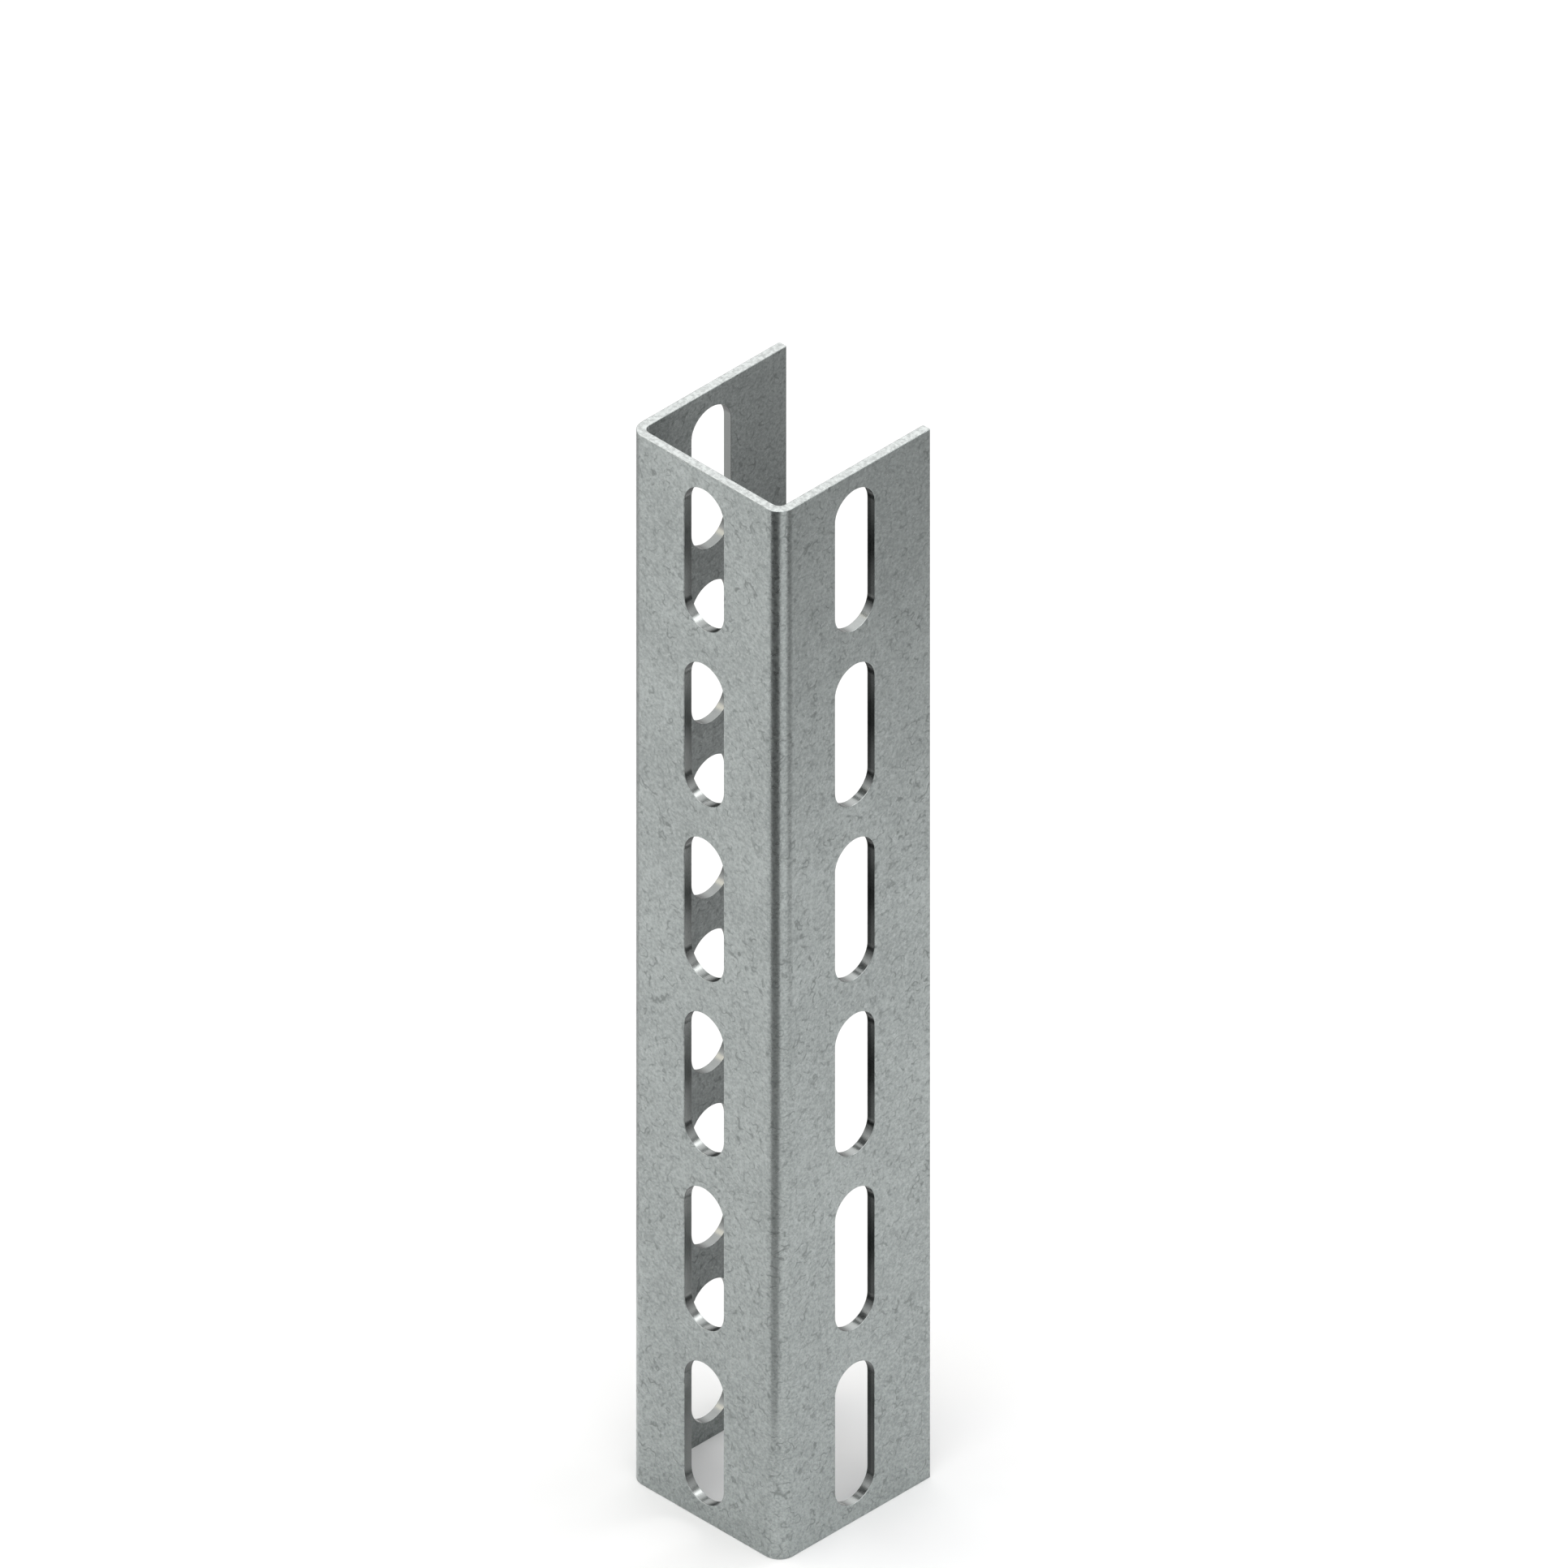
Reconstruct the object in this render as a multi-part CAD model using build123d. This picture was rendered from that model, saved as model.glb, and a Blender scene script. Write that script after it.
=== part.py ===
"""Slotted U channel for bolted supports, in millimetres.

One piece of hot-dip galvanised steel sheet: a flat strip with three rows of long slots
punched into it, bent into a plain U with no lips, and cut square to length.

The channel stands on its lower end. +Z runs up its length, the web's back faces -Y and the
open side faces +Y. The origin is the centre of the section's outline at the lower end.
"""

import math
import os

from build123d import *

# Driving dimensions
channel_length = 300.0
web_width = 50.0  # outside, across both flanges
flange_height = 50.0  # outside, from the web's back to the free edges
sheet_thickness = 2.5
inside_bend_radius = 2.0

slot_width = 13.0
slot_length = 40.0  # end to end
slot_pitch = 50.0
end_to_first_slot = 25.0  # from a cut end to the nearest slot's centre
web_back_to_flange_slots = 25.0  # from the web's back to the flange slots' centre line

slit_edge_radius = 0.4  # rounded corners of the strip's long edges, under the zinc
punch_roll_radius = 0.3  # rounding that the punch leaves around a slot's outer mouth

# What follows from them
outside_bend_radius = inside_bend_radius + sheet_thickness
half_width = web_width / 2
web_back_y = -flange_height / 2
free_edge_y = flange_height / 2
flange_slot_y = web_back_y + web_back_to_flange_slots


def u_section():
    """The section, with its two bends and the rounded corners of its free edges."""
    inner_half_width = half_width - sheet_thickness
    outline = Polyline(
        (-half_width, free_edge_y),
        (-half_width, web_back_y),
        (half_width, web_back_y),
        (half_width, free_edge_y),
        (inner_half_width, free_edge_y),
        (inner_half_width, web_back_y + sheet_thickness),
        (-inner_half_width, web_back_y + sheet_thickness),
        (-inner_half_width, free_edge_y),
        close=True,
    )
    section = make_face(outline)
    rows = section.vertices().group_by(Axis.Y)
    outer_corners, inner_corners, free_corners = rows[0], rows[1], rows[-1]
    section = fillet(outer_corners, outside_bend_radius)
    section = fillet(corners_at(section, inner_corners), inside_bend_radius)
    return fillet(corners_at(section, free_corners), slit_edge_radius)


def corners_at(section, places):
    """The section's corners that lie where the given ones did."""
    return [
        corner
        for corner in section.vertices()
        if any((corner.center() - place.center()).length < slit_edge_radius / 100 for place in places)
    ]


def slot_heights():
    """The height of each slot's centre, from the lower end upwards."""
    punched_length = channel_length - 2 * end_to_first_slot
    count = int(math.floor(punched_length / slot_pitch + 1e-6)) + 1
    return [end_to_first_slot + row * slot_pitch for row in range(count)]


def slot_punch(wall_centre, outward):
    """A punch for one slot, upright, centred in the wall and longer than the wall is thick."""
    across = outward.cross(Vector(0, 0, 1))
    plane = Plane(origin=wall_centre, x_dir=across, z_dir=outward)
    outline = plane * SlotOverall(slot_length, slot_width, rotation=90)
    return extrude(outline, amount=sheet_thickness, both=True)


def wall_rows():
    """For each of the three walls: a point under its slots, at mid-wall, and its outward direction."""
    mid_wall = sheet_thickness / 2
    return [
        (Vector(0, web_back_y + mid_wall, 0), Vector(0, -1, 0)),
        (Vector(-half_width + mid_wall, flange_slot_y, 0), Vector(-1, 0, 0)),
        (Vector(half_width - mid_wall, flange_slot_y, 0), Vector(1, 0, 0)),
    ]


def outer_mouths(channel):
    """The edges of every slot on the three outer faces."""
    edges = []
    for base, outward in wall_rows():
        height = (base + outward * (sheet_thickness / 2)).dot(outward)
        for face in channel.faces().filter_by(GeomType.PLANE):
            level = face.center().dot(outward)
            if face.normal_at().dot(outward) > 0.999 and abs(level - height) < sheet_thickness / 10:
                edges += [edge for wire in face.inner_wires() for edge in wire.edges()]
    return edges


def slotted_channel():
    channel = extrude(u_section(), amount=channel_length)
    punches = [
        slot_punch(base + Vector(0, 0, height), outward)
        for base, outward in wall_rows()
        for height in slot_heights()
    ]
    channel -= punches
    return fillet(outer_mouths(channel), punch_roll_radius)


os.makedirs("parts", exist_ok=True)
export_step(slotted_channel(), "parts/slotted_channel.step")
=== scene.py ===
"""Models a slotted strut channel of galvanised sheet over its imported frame, and sets its pale studio.

The file is laid out as an add-on and is run as a script. Lengths are in metres.
"""

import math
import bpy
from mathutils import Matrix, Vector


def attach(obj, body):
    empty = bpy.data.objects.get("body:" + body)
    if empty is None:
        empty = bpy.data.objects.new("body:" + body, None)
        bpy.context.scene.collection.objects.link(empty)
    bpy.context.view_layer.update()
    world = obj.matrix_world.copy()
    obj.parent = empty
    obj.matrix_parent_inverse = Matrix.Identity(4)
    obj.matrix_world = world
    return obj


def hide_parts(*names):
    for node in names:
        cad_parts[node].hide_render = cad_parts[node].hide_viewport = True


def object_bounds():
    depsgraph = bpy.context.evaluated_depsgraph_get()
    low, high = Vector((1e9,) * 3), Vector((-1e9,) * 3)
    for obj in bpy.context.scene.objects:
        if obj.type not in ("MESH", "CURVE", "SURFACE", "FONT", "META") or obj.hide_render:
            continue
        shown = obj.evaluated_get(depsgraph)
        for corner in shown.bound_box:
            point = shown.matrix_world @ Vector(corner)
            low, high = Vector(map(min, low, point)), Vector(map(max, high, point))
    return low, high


bl_info = {
    "name": "Slotted Strut Channel",
    "version": (1, 0, 0),
    "blender": (4, 5, 0),
    "location": "View3D > Sidebar > Channel",
    "description": "Models a galvanised slotted channel and the pale studio that it stands in",
    "category": "Add Mesh",
}

import bmesh
import bpy
from mathutils import Vector

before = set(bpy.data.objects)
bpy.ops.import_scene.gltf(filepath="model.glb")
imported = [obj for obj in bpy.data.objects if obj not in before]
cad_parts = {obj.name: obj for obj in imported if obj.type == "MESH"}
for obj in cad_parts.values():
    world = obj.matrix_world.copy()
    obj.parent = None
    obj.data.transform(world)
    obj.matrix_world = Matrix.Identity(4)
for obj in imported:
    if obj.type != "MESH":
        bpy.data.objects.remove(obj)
cad_low, cad_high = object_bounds()

CAD_NODE = "slotted_channel"
BODY = "root"

MM = 0.001

# Two places nearer than this are the same.
TOUCH = 0.01 * MM

# A face looks along an axis when its normal has at least this much of it.
FACING = 0.7

SHARP_ANGLE = math.radians(45)
SMOOTH_ANGLE = math.radians(40)

# How many flat strips make each kind of round edge.
BEND_STEPS = 24
ROLL_STEPS = 5
BREAK_STEPS = 3

SHEET_FINISH, INNER_FINISH, WALL_FINISH, END_FINISH, SLIT_FINISH = range(5)


# ---------------------------------------------------------------- sizes and colours


def length(name, description, default):
    """A length that a user may change."""
    return bpy.props.FloatProperty(
        name=name,
        description=description,
        default=default,
        min=0.0,
        precision=5,
        subtype="DISTANCE",
        unit="LENGTH",
    )


def colour(name, description, default):
    """A colour that a user may change."""
    return bpy.props.FloatVectorProperty(
        name=name, description=description, default=default, min=0.0, max=1.0, size=3, subtype="COLOR"
    )


def share(name, description, default):
    """A share from 0 to 1 that a user may change."""
    return bpy.props.FloatProperty(
        name=name, description=description, default=default, min=0.0, max=1.0, subtype="FACTOR"
    )


def strength(name, description, default):
    """A brightness that a user may change."""
    return bpy.props.FloatProperty(name=name, description=description, default=default, min=0.0)


class ChannelSizes(bpy.types.PropertyGroup):
    """Sizes of the sheet, its bends and its slots; the outside sizes come from the frame"""

    sheet_thickness: length("Sheet thickness", "Thickness of the sheet", 2.5 * MM)
    bend_radius: length("Bend radius", "Outside radius of the two bends", 4.5 * MM)
    slit_radius: length("Slit edge radius", "Rounding along the free edges of the flanges", 0.4 * MM)
    end_break: length("End break", "Width of the broken edge round both cut ends", 0.15 * MM)
    slot_width: length("Slot width", "Width of each slot", 13 * MM)
    slot_length: length("Slot length", "Length of each slot over its round ends", 40 * MM)
    slot_pitch: length("Slot pitch", "Distance from one slot to the next", 50 * MM)
    first_slot: length("First slot", "Height of the first slot's middle above the lower end", 25 * MM)
    punch_roll: length("Punch roll", "Rounding that the punch leaves where it enters", 0.2 * MM)
    punch_burr: length("Punch burr", "Width of the broken edge where the punch leaves", 0.1 * MM)


class ZincFinish(bpy.types.PropertyGroup):
    """Colours and roughness of the zinc and of the cut steel"""

    pale_zinc: colour("Pale zinc", "Lighter tone of the dull zinc", (0.398, 0.428, 0.421))
    dark_zinc: colour("Dark zinc", "Darker tone of the dull zinc", (0.271, 0.293, 0.289))
    curl_zinc: colour("Curl tone", "Tone of the small dark curls in the zinc", (0.165, 0.180, 0.176))
    # The share below sets painted shade: how much of the zinc's tone is left deep inside the channel.
    channel_shade_share: share("Painted shade inside", "Share of the zinc's tone left deep inside the channel", 0.47)
    wall_zinc: colour("Punched wall", "Tone of the smooth walls of the slots", (0.335, 0.349, 0.343))
    # This tone is painted shade, laid on the slots' walls.
    wall_shade_tone: colour("Painted wall shade", "Tone of the painted shade on the slots' walls", (0.120, 0.127, 0.125))
    end_steel: colour("Cut end", "Tone of the bright cut ends", (0.536, 0.559, 0.550))
    sheet_roughness: share("Sheet roughness", "Roughness of the zinc on the rolled faces", 0.30)
    wall_roughness: share("Wall roughness", "Roughness of the walls of the slots", 0.24)
    end_roughness: share("End roughness", "Roughness of the cut ends", 0.40)


class StudioSettings(bpy.types.PropertyGroup):
    """Framing and light of the studio"""

    frame_width: length("Frame width", "Width that the camera takes in", 366.5 * MM)
    frame_side: length("Frame side", "How far the frame's middle lies right of the channel's", 1.06 * MM)
    frame_rise: length("Frame rise", "How far the frame's middle lies above the channel's", 39.5 * MM)
    floor_tone: colour("Floor tone", "Colour of the floor", (0.90, 0.90, 0.90))
    fill_strength: strength("Fill strength", "Brightness of the soft light that fills the room", 1.3)
    horizon_strength: strength("Horizon strength", "Brightness of the mirrored room at the horizon", 0.6)
    ceiling_strength: strength("Ceiling strength", "Brightness of the mirrored room overhead", 2.3)


# ---------------------------------------------------------------- modelling by hand, in code


def start_clean():
    """Leaves object mode's selection empty, so that the next operator acts on nothing old."""
    bpy.ops.object.select_all(action="DESELECT")


def work_on(piece):
    """Makes a piece the only selected one, and the active one."""
    start_clean()
    piece.select_set(True)
    bpy.context.view_layer.objects.active = piece


def add_block(name, centre, size):
    """Adds a block of a given size, with its place and size in its mesh."""
    start_clean()
    bpy.ops.mesh.primitive_cube_add(size=1.0, location=centre, scale=size)
    block = bpy.context.object
    block.name = block.data.name = name
    bpy.ops.object.transform_apply(location=True, rotation=True, scale=True)
    return block


def pick_faces(piece, wanted):
    """In edit mode, selects just the faces that wanted accepts."""
    bpy.ops.mesh.select_mode(type="FACE")
    bpy.ops.mesh.select_all(action="DESELECT")
    shape = bmesh.from_edit_mesh(piece.data)
    for face in shape.faces:
        if wanted(face):
            face.select_set(True)
    bmesh.update_edit_mesh(piece.data)


def pick_edges(piece, wanted):
    """In edit mode, selects just the edges that wanted accepts."""
    bpy.ops.mesh.select_mode(type="EDGE")
    bpy.ops.mesh.select_all(action="DESELECT")
    shape = bmesh.from_edit_mesh(piece.data)
    picked = [edge for edge in shape.edges if wanted(edge)]
    if not picked:
        raise RuntimeError(f"{piece.name}: no edge is where one was expected")
    for edge in picked:
        edge.select_set(True)
    bmesh.update_edit_mesh(piece.data)


def round_edges(piece, wanted, radius, segments):
    """Rounds the edges that wanted accepts."""
    work_on(piece)
    bpy.ops.object.mode_set(mode="EDIT")
    pick_edges(piece, wanted)
    bpy.ops.mesh.bevel(offset=radius, segments=segments, profile=0.5, affect="EDGES", clamp_overlap=False)
    bpy.ops.object.mode_set(mode="OBJECT")


def add_and_apply(piece, kind, **settings):
    """Adds a modifier to a piece, sets it and applies it."""
    work_on(piece)
    bpy.ops.object.modifier_add(type=kind)
    modifier = piece.modifiers[-1]
    for name, value in settings.items():
        setattr(modifier, name, value)
    bpy.ops.object.modifier_apply(modifier=modifier.name)


def runs_along(edge, axis):
    """Whether an edge runs along an axis, 0 for X, 1 for Y and 2 for Z."""
    run = (edge.verts[1].co - edge.verts[0].co).normalized()
    return abs(run[axis]) > 0.99


def both_ends(edge, test):
    """Whether both ends of an edge pass a test on their place."""
    return all(test(corner.co) for corner in edge.verts)


def stands_at(edge, test):
    """Whether an edge runs up the channel at a place that passes a test."""
    return runs_along(edge, 2) and both_ends(edge, test)


def is_sharp(edge):
    """Whether two faces meet at the edge at a clear angle."""
    return len(edge.link_faces) == 2 and edge.calc_face_angle() > SHARP_ANGLE


# ---------------------------------------------------------------- the channel


def roll_channel(sizes):
    """Rolls the bare channel: a block's three walls, two bends, the sheet's thickness and its free edges."""

    def at_web(place):
        return abs(place.y - cad_low.y) < TOUCH

    def at_mouth(place):
        return abs(place.y - cad_high.y) < TOUCH

    def at_end(place):
        return min(abs(place.z - cad_low.z), abs(place.z - cad_high.z)) < TOUCH

    channel = add_block("galvanised_channel", (cad_low + cad_high) / 2, cad_high - cad_low)
    bpy.ops.object.mode_set(mode="EDIT")
    pick_faces(channel, lambda face: abs(face.normal.z) > FACING or face.normal.y > FACING)
    bpy.ops.mesh.delete(type="FACE")
    bpy.ops.object.mode_set(mode="OBJECT")
    round_edges(channel, lambda edge: stands_at(edge, at_web), sizes.bend_radius, BEND_STEPS)
    add_and_apply(channel, "SOLIDIFY", thickness=sizes.sheet_thickness, offset=-1.0, use_even_offset=True)
    round_edges(channel, lambda edge: stands_at(edge, at_mouth), sizes.slit_radius, ROLL_STEPS)
    cut_edge = lambda edge: is_sharp(edge) and both_ends(edge, at_end)
    round_edges(channel, cut_edge, sizes.end_break, BREAK_STEPS)
    return channel


def slot_count(sizes):
    """How many slots the length takes."""
    return 1 + int((cad_high.z - cad_low.z - 2 * sizes.first_slot) / sizes.slot_pitch + 0.5)


def punch_row(sizes, name, centre, across, reach):
    """A row of round-ended punches up the channel, each reaching far enough along the axis across."""
    size = Vector((sizes.slot_width, sizes.slot_width, sizes.slot_length))
    size[across] = reach
    punches = add_block(name, centre, size)
    round_edges(punches, lambda edge: runs_along(edge, across), sizes.slot_width / 2, BEND_STEPS)
    bpy.ops.object.mode_set(mode="EDIT")
    bpy.ops.mesh.select_all(action="SELECT")
    bpy.ops.mesh.remove_doubles(threshold=TOUCH)
    bpy.ops.object.mode_set(mode="OBJECT")
    add_and_apply(
        punches,
        "ARRAY",
        count=slot_count(sizes),
        use_relative_offset=False,
        use_constant_offset=True,
        constant_offset_displace=(0.0, 0.0, sizes.slot_pitch),
    )
    return punches


def punch_slots(channel, sizes):
    """Punches the web's row of slots, and one row through both flanges."""
    middle = (cad_low + cad_high) / 2
    height = cad_low.z + sizes.first_slot
    web_middle = cad_low.y + sizes.sheet_thickness / 2
    past_web = 4 * sizes.sheet_thickness
    past_flanges = 1.2 * (cad_high.x - cad_low.x)
    rows = (
        ("web_punches", (middle.x, web_middle, height), 1, past_web),
        ("flange_punches", (middle.x, middle.y, height), 0, past_flanges),
    )
    for name, centre, across, reach in rows:
        punches = punch_row(sizes, name, centre, across, reach)
        add_and_apply(channel, "BOOLEAN", operation="DIFFERENCE", solver="EXACT", object=punches)
        bpy.data.objects.remove(punches)


def in_slot_band(place, sizes):
    """Whether a place lies within the band that the slots take up along the middle of each wall."""
    middle = (cad_low + cad_high) / 2
    half = sizes.slot_width / 2 + TOUCH
    return min(abs(place.x - middle.x), abs(place.y - middle.y)) < half


def depth_in_sheet(place):
    """How deep a place lies under the channel's outer faces."""
    return min(place.x - cad_low.x, cad_high.x - place.x, place.y - cad_low.y)


def break_slot_edges(channel, sizes):
    """Rounds each slot's mouth on the outside, where the punch went in, and breaks its edge on the inside."""

    def at_rim(place, depth):
        off_ends = cad_low.z + MM < place.z < cad_high.z - MM
        return off_ends and in_slot_band(place, sizes) and abs(depth_in_sheet(place) - depth) < TOUCH

    rims = (
        (0.0, sizes.punch_roll, ROLL_STEPS),
        (sizes.sheet_thickness, sizes.punch_burr, BREAK_STEPS),
    )
    for depth, radius, steps in rims:
        wanted = lambda edge: is_sharp(edge) and both_ends(edge, lambda place: at_rim(place, depth))
        round_edges(channel, wanted, radius, steps)


def finish_number(face, sizes):
    """The finish that a face takes, told by where it lies and which way it looks."""
    place, normal = face.center, face.normal
    if abs(normal.z) > FACING and min(place.z - cad_low.z, cad_high.z - place.z) < TOUCH:
        return END_FINISH
    if normal.y > FACING and cad_high.y - place.y < TOUCH:
        return SLIT_FINISH
    depth = depth_in_sheet(place)
    outer_rim = sizes.punch_roll / 2
    inner_rim = sizes.sheet_thickness - sizes.punch_burr / 2
    if outer_rim < depth < inner_rim and in_slot_band(place, sizes):
        return WALL_FINISH
    if depth > inner_rim:
        return INNER_FINISH
    return SHEET_FINISH


def check_closed(piece):
    """Stops with an error if the piece's shell is open or crosses itself at an edge."""
    shape = bmesh.new()
    shape.from_mesh(piece.data)
    open_edges = sum(not edge.is_manifold for edge in shape.edges)
    volume = shape.calc_volume()
    shape.free()
    if open_edges or volume <= 0:
        raise RuntimeError(f"{piece.name}: {open_edges} open edges, volume {volume:.3e}")
    print(f"{piece.name}: closed, {len(piece.data.polygons)} faces, {volume / MM**3:.0f} cubic millimetres")


def finish_channel(channel, sizes, finish):
    """Smooths the rounded stretches, keeps the flat faces flat, and gives every face its finish."""
    work_on(channel)
    bpy.ops.object.shade_smooth_by_angle(angle=SMOOTH_ANGLE)
    add_and_apply(channel, "WEIGHTED_NORMAL", mode="FACE_AREA", weight=50, keep_sharp=True)
    finishes = (
        zinc_sheet(finish, "zinc_sheet"),
        # The inside zinc carries painted shade.
        zinc_sheet(finish, "zinc_inside", painted_channel_shade=True),
        punched_wall(finish, sizes),
        cut_end(finish),
        slit_edge(finish),
    )
    for material in finishes:
        channel.data.materials.append(material)
    for face in channel.data.polygons:
        face.material_index = finish_number(face, sizes)


# ---------------------------------------------------------------- finishes

# Nearly all of a noise's values lie between these two.
NOISE_LOW, NOISE_HIGH = 0.3, 0.7

# A curl runs where one noise is this near its middle value, fading from its core to its rim, and it is cut
# off where a second noise falls from the higher value to the lower.
CURL_CORE, CURL_RIM = 0.005, 0.045
CURL_CUT, CURL_KEPT = 0.50, 0.56
SHORT_CURL_SHARE = 0.4

# How far in from the cut ends the painted shade on the zinc inside the channel goes on darkening.
CHANNEL_SHADE_REACH = 45 * MM

# How far past a slot's straight sides the marks of the punch fade out.
SIDE_FADE = 5 * MM
TOP_FADE = 3 * MM
FLOOR_FADE = 3 * MM

# How much painted shade the left flange's slots take, where the right flange's take it fully.
LEFT_WALL_SHADE = 0.45

# The shares of the sheet's thickness where the painted shade on the inner half of the right flange's slot
# walls starts and is full, and the share of tone that this painted shade takes on the right flange.
INNER_SHADE_START, INNER_SHADE_FULL = 0.45, 0.60
INNER_SHADE_LOSS = 0.45

# The shares of tone that painted shade takes from the slots' lower ends on the left flange and on the right
# one.
LEFT_FLOOR_SHADE, RIGHT_FLOOR_SHADE = 0.32, 0.05

# The share of tone that the darker streaks keep on the walls and on the cut ends.
WALL_STREAK = 0.85
END_STREAK = 0.66

# How deep the grain goes on each finish.
SHEET_RELIEF = 0.017 * MM
WALL_RELIEF = 0.004 * MM
END_RELIEF = 0.015 * MM
SLIT_RELIEF = 0.02 * MM


def node(tree, kind, inputs=None, **settings):
    """Adds a node, sets it, and fills its inputs with values or with other nodes' outputs."""
    made = tree.nodes.new(kind)
    for name, value in settings.items():
        setattr(made, name, value)
    for name, value in (inputs or {}).items():
        if isinstance(value, bpy.types.NodeSocket):
            tree.links.new(value, made.inputs[name])
        else:
            made.inputs[name].default_value = value
    return made


def maths(tree, operation, first, second=0.0):
    """One sum on two values."""
    return node(tree, "ShaderNodeMath", {0: first, 1: second}, operation=operation).outputs[0]


def spread(tree, value, low, high, new_low=0.0, new_high=1.0):
    """Stretches a value from one range to another, and holds it there."""
    inputs = {"Value": value, "From Min": low, "From Max": high, "To Min": new_low, "To Max": new_high}
    return node(tree, "ShaderNodeMapRange", inputs, clamp=True).outputs["Result"]


def varied(tree, value, new_low, new_high):
    """Stretches a noise's values to a given range."""
    return spread(tree, value, NOISE_LOW, NOISE_HIGH, new_low, new_high)


def dimmed(tree, tone, left):
    """A colour with only a share of it left."""
    return node(tree, "ShaderNodeVectorMath", {0: tone, "Scale": left}, operation="SCALE").outputs["Vector"]


def blend_tones(tree, amount, first, second):
    """Goes from the first colour to the second as amount goes from 0 to 1."""
    made = node(tree, "ShaderNodeMix", {0: amount}, data_type="RGBA")
    for socket, tone in ((made.inputs[6], first), (made.inputs[7], second)):
        if isinstance(tone, bpy.types.NodeSocket):
            tree.links.new(tone, socket)
        else:
            socket.default_value = (*tone, 1.0)
    return made.outputs[2]


def noise(tree, place, scale, detail=2.0, roughness=0.5):
    """The values of a noise texture, with scale in spots per metre."""
    inputs = {"Vector": place, "Scale": scale, "Detail": detail, "Roughness": roughness}
    return node(tree, "ShaderNodeTexNoise", inputs).outputs["Fac"]


def stretched(tree, place, scale):
    """The place scaled by a different amount along each axis."""
    return node(tree, "ShaderNodeMapping", {"Vector": place, "Scale": scale}).outputs["Vector"]


def new_metal(name):
    """An empty metal: its node tree, its shader and the place on the piece."""
    material = bpy.data.materials.new(name)
    material.use_nodes = True
    tree = material.node_tree
    shader = tree.nodes["Principled BSDF"]
    shader.inputs["Metallic"].default_value = 1.0
    place = node(tree, "ShaderNodeTexCoord").outputs["Object"]
    return material, tree, shader, place


def raise_surface(tree, shader, height, depth):
    """Feeds the shader a surface raised by height, over a depth in metres."""
    bump = node(tree, "ShaderNodeBump", {"Strength": 1.0, "Distance": depth, "Height": height})
    tree.links.new(bump.outputs["Normal"], shader.inputs["Normal"])


def curl_lines(tree, place, scale, cut_scale):
    """Short curved lines: the level lines of one noise, cut into pieces by a finer one."""
    level = noise(tree, place, scale, detail=1)
    off_level = maths(tree, "ABSOLUTE", maths(tree, "SUBTRACT", level, 0.5))
    lines = spread(tree, off_level, CURL_CORE, CURL_RIM, 1.0, 0.0)
    kept = spread(tree, noise(tree, place, cut_scale, detail=1), CURL_CUT, CURL_KEPT)
    return maths(tree, "MULTIPLY", lines, kept)


def zinc_sheet(finish, name, painted_channel_shade=False):
    """Dull zinc on the rolled faces: fine grain, small dark curls where the coating froze, and soft clouds.

    Inside the channel its tone is darkened by painted shade, darkest away from the ends.
    """
    material, tree, shader, place = new_metal(name)
    crowding = spread(tree, noise(tree, place, scale=70, detail=3), 0.35, 0.62, 0.45, 0.75)
    long_curls = curl_lines(tree, place, scale=300, cut_scale=400)
    short_curls = curl_lines(tree, place, scale=520, cut_scale=640)
    curls = maths(tree, "MAXIMUM", long_curls, maths(tree, "MULTIPLY", short_curls, SHORT_CURL_SHARE))
    curls = maths(tree, "MULTIPLY", curls, crowding)
    fine_grain = noise(tree, place, scale=1500, detail=3, roughness=0.7)
    grain = noise(tree, place, scale=700, detail=2, roughness=0.6)
    clouds = noise(tree, place, scale=60, detail=4, roughness=0.6)
    grains = maths(tree, "ADD", varied(tree, fine_grain, -0.75, 0.75), varied(tree, grain, -0.1, 0.1))
    tone = maths(tree, "ADD", grains, varied(tree, clouds, 0.3, 0.7))
    zinc = blend_tones(tree, tone, finish.dark_zinc, finish.pale_zinc)
    zinc = blend_tones(tree, curls, zinc, finish.curl_zinc)
    if painted_channel_shade:
        # Painted shade: the zinc inside is darkened from the cut ends inwards.
        height = node(tree, "ShaderNodeSeparateXYZ", {"Vector": place}).outputs["Z"]
        above = maths(tree, "SUBTRACT", height, cad_low.z)
        below = maths(tree, "SUBTRACT", cad_high.z, height)
        from_ends = maths(tree, "MINIMUM", above, below)
        deep = finish.channel_shade_share
        zinc = dimmed(tree, zinc, spread(tree, from_ends, 0.0, CHANNEL_SHADE_REACH, (1 + deep) / 2, deep))
    tree.links.new(zinc, shader.inputs["Base Color"])
    rough = finish.sheet_roughness
    grain_roughness = varied(tree, grain, rough + 0.05, rough - 0.05)
    curl_roughness = maths(tree, "MULTIPLY", curls, 0.08)
    tree.links.new(maths(tree, "ADD", grain_roughness, curl_roughness), shader.inputs["Roughness"])
    raised = maths(tree, "ADD", grain, fine_grain)
    relief = maths(tree, "SUBTRACT", raised, maths(tree, "MULTIPLY", curls, 0.5))
    raise_surface(tree, shader, relief, SHEET_RELIEF)
    return material


def above_slot_middle(tree, height, sizes):
    """How high a height lies above the middle of the nearest slot."""
    half_pitch = sizes.slot_pitch / 2
    above_start = maths(tree, "SUBTRACT", height, cad_low.z + sizes.first_slot - half_pitch)
    in_pitch = maths(tree, "FLOORED_MODULO", above_start, sizes.slot_pitch)
    return maths(tree, "SUBTRACT", in_pitch, half_pitch)


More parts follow.
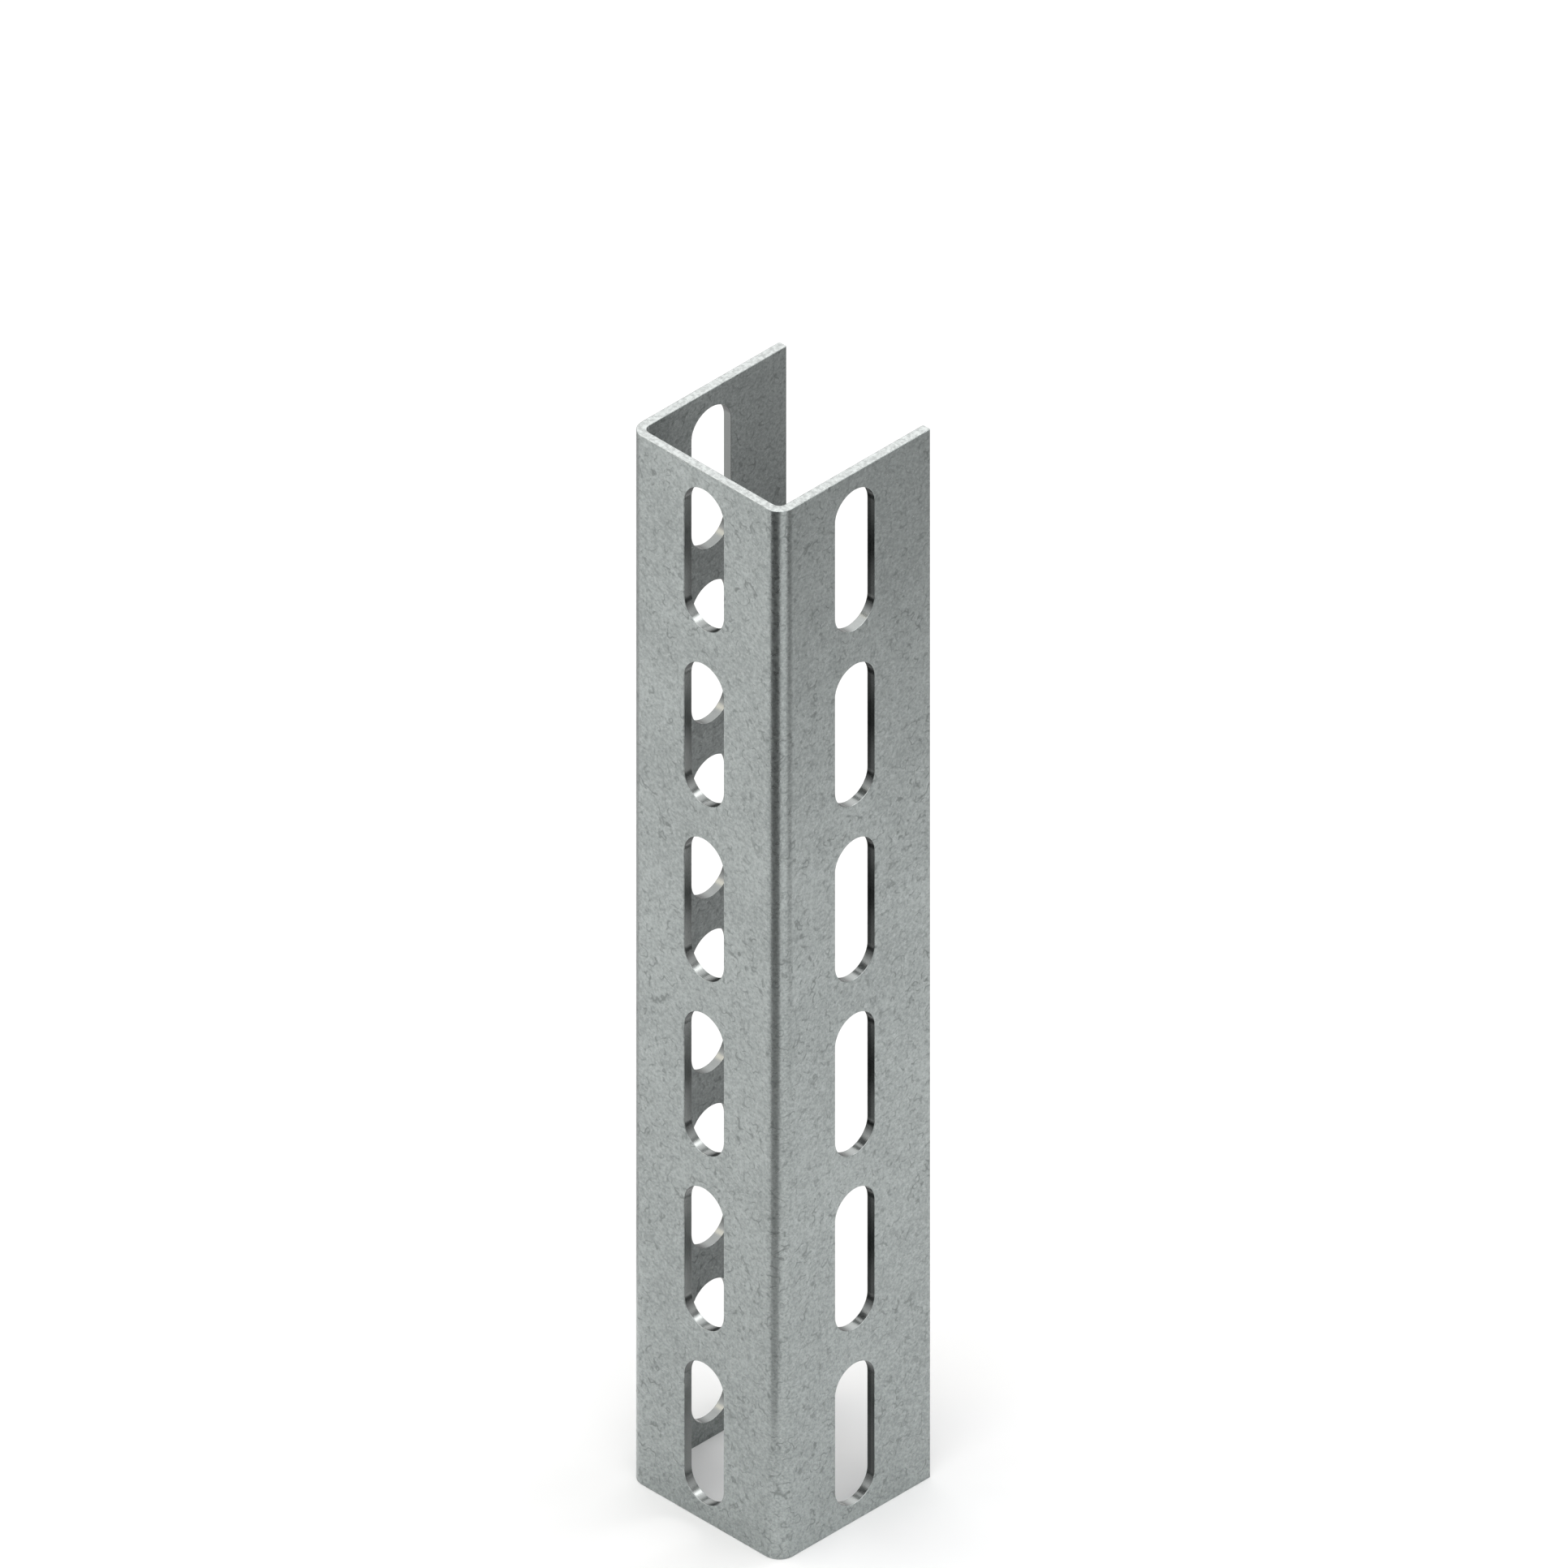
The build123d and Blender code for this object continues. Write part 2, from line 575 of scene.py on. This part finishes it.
def punched_wall(finish, sizes):
    """The smooth wall of a slot: drawn shiny by the punch, with faint drag lines through the sheet.

    The long sides of the flanges' slots, the right one's most, and the upper ends of all slots are darkened
    most, by painted shade. On the right flange the inner half of the wall is darker still, also by painted
    shade. The lower ends carry a little painted shade too, the left flange's most.
    """
    material, tree, shader, place = new_metal("punched_wall")
    drag = noise(tree, stretched(tree, place, (1.0, 1.0, 9.0)), scale=300, detail=3)
    patches = noise(tree, place, scale=220, detail=2)
    tone = maths(tree, "ADD", varied(tree, drag, -0.2, 0.2), varied(tree, patches, 0.3, 0.7))
    streak = tuple(WALL_STREAK * part for part in finish.wall_zinc)
    zinc = blend_tones(tree, tone, streak, finish.wall_zinc)

    split = node(tree, "ShaderNodeSeparateXYZ", {"Vector": place})
    across = split.outputs["X"]
    off_middle = maths(tree, "ABSOLUTE", across)
    above_middle = above_slot_middle(tree, split.outputs["Z"], sizes)
    straight = (sizes.slot_length - sizes.slot_width) / 2
    thickness = sizes.sheet_thickness

    on_side = spread(tree, above_middle, -straight - SIDE_FADE, -straight)
    on_top = spread(tree, above_middle, straight, straight + TOP_FADE)
    on_flange = spread(tree, off_middle, cad_high.x - 2 * thickness, cad_high.x - thickness)
    to_right = spread(tree, across, cad_low.x, cad_high.x, LEFT_WALL_SHADE, 1.0)
    # Painted shade on the flanges' long slot sides, the right one's most, and on the upper ends of all slots.
    painted_wall_shade = maths(tree, "MULTIPLY", on_side, maths(tree, "MULTIPLY", on_flange, to_right))
    painted_wall_shade = maths(tree, "MAXIMUM", painted_wall_shade, on_top)
    zinc = blend_tones(tree, painted_wall_shade, zinc, finish.wall_shade_tone)

    under_web = maths(tree, "SUBTRACT", split.outputs["Y"], cad_low.y)
    under_flange = maths(tree, "SUBTRACT", cad_high.x, off_middle)
    depth = maths(tree, "MINIMUM", under_web, under_flange)
    # Painted shade on the inner half of the right flange's slot walls.
    inner_half = spread(tree, depth, INNER_SHADE_START * thickness, INNER_SHADE_FULL * thickness)
    right_shade_share = spread(tree, across, 0.0, cad_high.x, 0.0, INNER_SHADE_LOSS)
    right_inner_shade = maths(tree, "MULTIPLY", maths(tree, "MULTIPLY", inner_half, on_side), right_shade_share)
    # Painted shade at the slots' lower ends, the left flange's most.
    on_floor = spread(tree, above_middle, -straight - FLOOR_FADE, -straight, 1.0, 0.0)
    floor_share = spread(tree, across, cad_low.x, cad_high.x, LEFT_FLOOR_SHADE, RIGHT_FLOOR_SHADE)
    floor_shade = maths(tree, "MULTIPLY", on_floor, floor_share)
    left = maths(tree, "SUBTRACT", 1.0, maths(tree, "MAXIMUM", right_inner_shade, floor_shade))
    tree.links.new(dimmed(tree, zinc, left), shader.inputs["Base Color"])

    rough = finish.wall_roughness
    tree.links.new(varied(tree, patches, rough - 0.03, rough + 0.03), shader.inputs["Roughness"])
    raise_surface(tree, shader, drag, WALL_RELIEF)
    return material


def cut_end(finish):
    """The bright cut end of the sheet, with a fine grain and faint saw lines."""
    material, tree, shader, place = new_metal("cut_end")
    grain = noise(tree, place, scale=900, detail=3, roughness=0.7)
    saw_lines = noise(tree, stretched(tree, place, (1.0, 12.0, 1.0)), scale=260, detail=3)
    grain_tone = spread(tree, grain, 0.38, 0.62, -0.6, 0.6)
    tone = maths(tree, "ADD", grain_tone, varied(tree, saw_lines, 0.4, 0.7))
    streak = tuple(END_STREAK * part for part in finish.end_steel)
    tree.links.new(blend_tones(tree, tone, streak, finish.end_steel), shader.inputs["Base Color"])
    rough = finish.end_roughness
    tree.links.new(varied(tree, grain, rough - 0.06, rough + 0.06), shader.inputs["Roughness"])
    raise_surface(tree, shader, maths(tree, "ADD", grain, saw_lines), END_RELIEF)
    return material


def slit_edge(finish):
    """The free edge of a flange, slit lengthwise from the strip and dulled by zinc creeping over it."""
    material, tree, shader, place = new_metal("slit_edge")
    grain = noise(tree, place, scale=700, detail=3, roughness=0.6)
    slit_lines = noise(tree, stretched(tree, place, (8.0, 8.0, 0.25)), scale=240, detail=3)
    tone = maths(tree, "ADD", varied(tree, grain, -0.3, 0.3), varied(tree, slit_lines, 0.2, 0.8))
    tree.links.new(blend_tones(tree, tone, finish.dark_zinc, finish.pale_zinc), shader.inputs["Base Color"])
    tree.links.new(varied(tree, grain, 0.30, 0.42), shader.inputs["Roughness"])
    raise_surface(tree, shader, slit_lines, SLIT_RELIEF)
    return material


# ---------------------------------------------------------------- the studio

FLOOR_SIZE = 8.0

# The share of tone that the floor keeps where it is darkest.
FLOOR_STREAK = 0.985

# The mirrored ceiling is at its full brightness from here up, as the sine of its elevation.
CEILING_EDGE = 0.6

# How far a card lies above the floor, and how many straight steps make its curved sides.
FLAG_LIFT = 0.5 * MM
FLAG_STEPS = 12

# Dark cards round the channel, told as lay_flag takes them: degrees, metres and tones.
FLAGS = (
    {
        "name": "front_flag",
        "azimuth": 22.0,
        "half_widths": (13.0, 27.0),
        "reaches": (0.08, 0.40, 0.75),
        "tones": (0.50, 0.0),
    },
    {
        "name": "side_flag",
        "azimuth": 103.0,
        "half_widths": (15.0, 15.0),
        "reaches": (0.19, 0.43, 1.50),
        "tones": (0.92, 0.14),
    },
    {
        "name": "right_flag",
        "azimuth": 135.0,
        "half_widths": (17.0, 17.0),
        "reaches": (0.27, 0.44, 1.50),
        "tones": (1.0, 0.41),
    },
    {
        "name": "back_flag",
        "azimuth": 205.0,
        "half_widths": (45.0, 45.0),
        "reaches": (0.07, 0.30, 1.50),
        "tones": (0.38, 0.30),
    },
    {
        "name": "left_flag",
        "azimuth": 270.0,
        "half_widths": (20.0, 20.0),
        "reaches": (0.10, 0.40, 1.50),
        "tones": (0.60, 0.50),
    },
)

# Soft lights: the large one lights the scene, and the small ones gleam in the lower ends of the slots.
SOFTBOXES = (
    {
        "name": "top_softbox",
        "place": (0.2, -0.5, 1.6),
        "size": (1.4, 1.4),
        "power": 6.0,
        "tone": (1.0, 1.0, 1.0),
    },
    {
        "name": "rear_softbox",
        "place": (0.27, 0.73, 1.15),
        "size": (0.34, 0.38),
        "power": 1.60,
        "tone": (1.0, 1.0, 1.0),
    },
    {
        "name": "left_softbox",
        "place": (-0.73, -0.51, 0.95),
        "size": (0.35, 0.35),
        "power": 0.60,
        "tone": (1.0, 0.86, 0.62),
    },
)


def paint_floor(floor, tone):
    """A pale, matt floor with the faintest unevenness."""
    material = bpy.data.materials.new("studio_floor")
    material.use_nodes = True
    tree = material.node_tree
    shader = tree.nodes["Principled BSDF"]
    place = node(tree, "ShaderNodeTexCoord").outputs["Object"]
    unevenness = noise(tree, place, scale=3, detail=2)
    streak = tuple(FLOOR_STREAK * part for part in tone)
    tree.links.new(blend_tones(tree, unevenness, streak, tone), shader.inputs["Base Color"])
    shader.inputs["Roughness"].default_value = 0.9
    shader.inputs["Specular IOR Level"].default_value = 0.1
    floor.data.materials.append(material)


def lay_floor(settings):
    """Lays the floor under the channel's lower end."""
    start_clean()
    bpy.ops.mesh.primitive_plane_add(size=FLOOR_SIZE, location=(0.0, 0.0, cad_low.z))
    floor = bpy.context.object
    floor.name = floor.data.name = "studio_floor"
    bpy.ops.object.transform_apply(location=True, rotation=True, scale=True)
    paint_floor(floor, settings.floor_tone)


def light_room(settings):
    """Fills the room with an even light, plain white to the camera and brighter overhead to the metal."""
    world = bpy.data.worlds.new("studio_room")
    bpy.context.scene.world = world
    world.use_nodes = True
    tree = world.node_tree
    tree.nodes.clear()
    way = node(tree, "ShaderNodeTexCoord").outputs["Generated"]
    up = node(tree, "ShaderNodeSeparateXYZ", {"Vector": way}).outputs["Z"]
    overhead = spread(tree, up, 0.0, CEILING_EDGE, settings.horizon_strength, settings.ceiling_strength)
    mirrored = node(tree, "ShaderNodeBackground", {"Strength": overhead}).outputs[0]
    filling = node(tree, "ShaderNodeBackground", {"Strength": settings.fill_strength}).outputs[0]
    seen = node(tree, "ShaderNodeBackground", {"Color": (1.0, 1.0, 1.0, 1.0), "Strength": 1.0}).outputs[0]
    rays = node(tree, "ShaderNodeLightPath")
    by_gloss = {0: rays.outputs["Is Glossy Ray"], 1: filling, 2: mirrored}
    room = node(tree, "ShaderNodeMixShader", by_gloss).outputs[0]
    by_camera = {0: rays.outputs["Is Camera Ray"], 1: room, 2: seen}
    surface = node(tree, "ShaderNodeMixShader", by_camera).outputs[0]
    tree.links.new(surface, node(tree, "ShaderNodeOutputWorld").inputs["Surface"])


def paint_flag(name, near, darkest, tones):
    """A matt grey that goes from one tone near the channel to another further out."""
    material = bpy.data.materials.new(name)
    material.use_nodes = True
    tree = material.node_tree
    shader = tree.nodes["Principled BSDF"]
    place = node(tree, "ShaderNodeTexCoord").outputs["Object"]
    outwards = node(tree, "ShaderNodeVectorMath", {0: place}, operation="LENGTH").outputs["Value"]
    tone = spread(tree, outwards, near, darkest, *tones)
    tree.links.new(blend_tones(tree, tone, (0.0, 0.0, 0.0), (1.0, 1.0, 1.0)), shader.inputs["Base Color"])
    shader.inputs["Roughness"].default_value = 1.0
    shader.inputs["Specular IOR Level"].default_value = 0.0
    return material


def lay_flag(name, azimuth, half_widths, reaches, tones):
    """Lays a dark card on the floor that shows only in reflections, as a studio flag does out of sight.

    It lies out from the channel towards an azimuth, 0 for the front and 90 for the right. Its half width in
    degrees has a near and a far value. Its tone goes from the near one, where it starts, to the far one at
    the second reach, and keeps that to its end at the third.
    """
    near, darkest, far = reaches
    rim = []
    for half_width, reach in zip(half_widths, (near, far)):
        for step in range(FLAG_STEPS + 1):
            turn = math.radians(azimuth + half_width * (2 * step / FLAG_STEPS - 1))
            rim.append((reach * math.sin(turn), -reach * math.cos(turn), cad_low.z + FLAG_LIFT))
    far_side = FLAG_STEPS + 1
    faces = [(step, step + 1, far_side + step + 1, far_side + step) for step in range(FLAG_STEPS)]
    card = bpy.data.meshes.new(name)
    card.from_pydata(rim, [], faces)
    card.materials.append(paint_flag(name, near, darkest, tones))
    flag = bpy.data.objects.new(name, card)
    bpy.context.collection.objects.link(flag)
    flag.visible_camera = False
    flag.visible_diffuse = False
    flag.visible_shadow = False


def hang_softbox(name, place, size, power, tone):
    """Hangs a soft light that faces the channel's middle, out of the camera's sight."""
    start_clean()
    bpy.ops.object.light_add(type="AREA", location=place)
    box = bpy.context.object
    box.name = box.data.name = name
    box.data.shape = "RECTANGLE"
    box.data.size, box.data.size_y = size
    box.data.energy = power
    box.data.color = tone
    box.visible_camera = False
    aim = (cad_low + cad_high) / 2 - Vector(place)
    box.rotation_euler = aim.to_track_quat("-Z", "Y").to_euler()


def set_camera(settings):
    """Sets a parallel camera that looks down over the front right corner, at equal angles to all axes."""
    back = Vector((1.0, -1.0, 1.0)).normalized()
    right = Vector((1.0, 1.0, 0.0)).normalized()
    up = back.cross(right)
    aim = (cad_low + cad_high) / 2 + settings.frame_side * right + settings.frame_rise * up
    start_clean()
    bpy.ops.object.camera_add(location=aim + back)
    camera = bpy.context.object
    camera.name = camera.data.name = "studio_camera"
    camera.rotation_euler = (-back).to_track_quat("-Z", "Y").to_euler()
    camera.data.type = "ORTHO"
    camera.data.ortho_scale = settings.frame_width
    camera.data.clip_start = 0.01
    camera.data.clip_end = 20.0
    bpy.context.scene.camera = camera
    bpy.context.scene.view_settings.view_transform = "Standard"


# ---------------------------------------------------------------- operators and panel


class CHANNEL_OT_add_channel(bpy.types.Operator):
    """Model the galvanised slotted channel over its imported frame"""

    bl_idname = "channel.add_channel"
    bl_label = "Add Slotted Channel"
    bl_options = {"REGISTER", "UNDO"}

    def execute(self, context):
        sizes, finish = context.scene.channel_sizes, context.scene.zinc_finish
        channel = roll_channel(sizes)
        punch_slots(channel, sizes)
        break_slot_edges(channel, sizes)
        check_closed(channel)
        finish_channel(channel, sizes, finish)
        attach(channel, BODY)
        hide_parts(CAD_NODE)
        return {"FINISHED"}


class CHANNEL_OT_add_studio(bpy.types.Operator):
    """Lay the pale floor and the unseen dark cards, hang the soft lights and set the camera"""

    bl_idname = "channel.add_studio"
    bl_label = "Add Studio"
    bl_options = {"REGISTER", "UNDO"}

    def execute(self, context):
        settings = context.scene.studio_settings
        lay_floor(settings)
        light_room(settings)
        for flag in FLAGS:
            lay_flag(**flag)
        for softbox in SOFTBOXES:
            hang_softbox(**softbox)
        set_camera(settings)
        return {"FINISHED"}


class CHANNEL_PT_panel(bpy.types.Panel):
    """Lists the steps that make the channel and its studio, and their sizes and colours"""

    bl_idname = "CHANNEL_PT_panel"
    bl_label = "Slotted Strut Channel"
    bl_space_type = "VIEW_3D"
    bl_region_type = "UI"
    bl_category = "Channel"

    def draw(self, context):
        layout = self.layout
        for group in (context.scene.channel_sizes, context.scene.zinc_finish, context.scene.studio_settings):
            box = layout.box()
            for name in group.__annotations__:
                box.prop(group, name)
        layout.operator(CHANNEL_OT_add_channel.bl_idname)
        layout.operator(CHANNEL_OT_add_studio.bl_idname)


GROUPS = {"channel_sizes": ChannelSizes, "zinc_finish": ZincFinish, "studio_settings": StudioSettings}
CLASSES = (*GROUPS.values(), CHANNEL_OT_add_channel, CHANNEL_OT_add_studio, CHANNEL_PT_panel)


def register():
    """Registers the classes, and hangs the property groups on the scene."""
    for each in CLASSES:
        bpy.utils.register_class(each)
    for name, group in GROUPS.items():
        setattr(bpy.types.Scene, name, bpy.props.PointerProperty(type=group))


def unregister():
    """Takes the property groups off the scene, and the classes away."""
    for name in GROUPS:
        delattr(bpy.types.Scene, name)
    for each in reversed(CLASSES):
        bpy.utils.unregister_class(each)


def main():
    """Makes the channel, then the studio around it."""
    register()
    bpy.ops.channel.add_channel()
    bpy.ops.channel.add_studio()


if __name__ == "__main__":
    main()
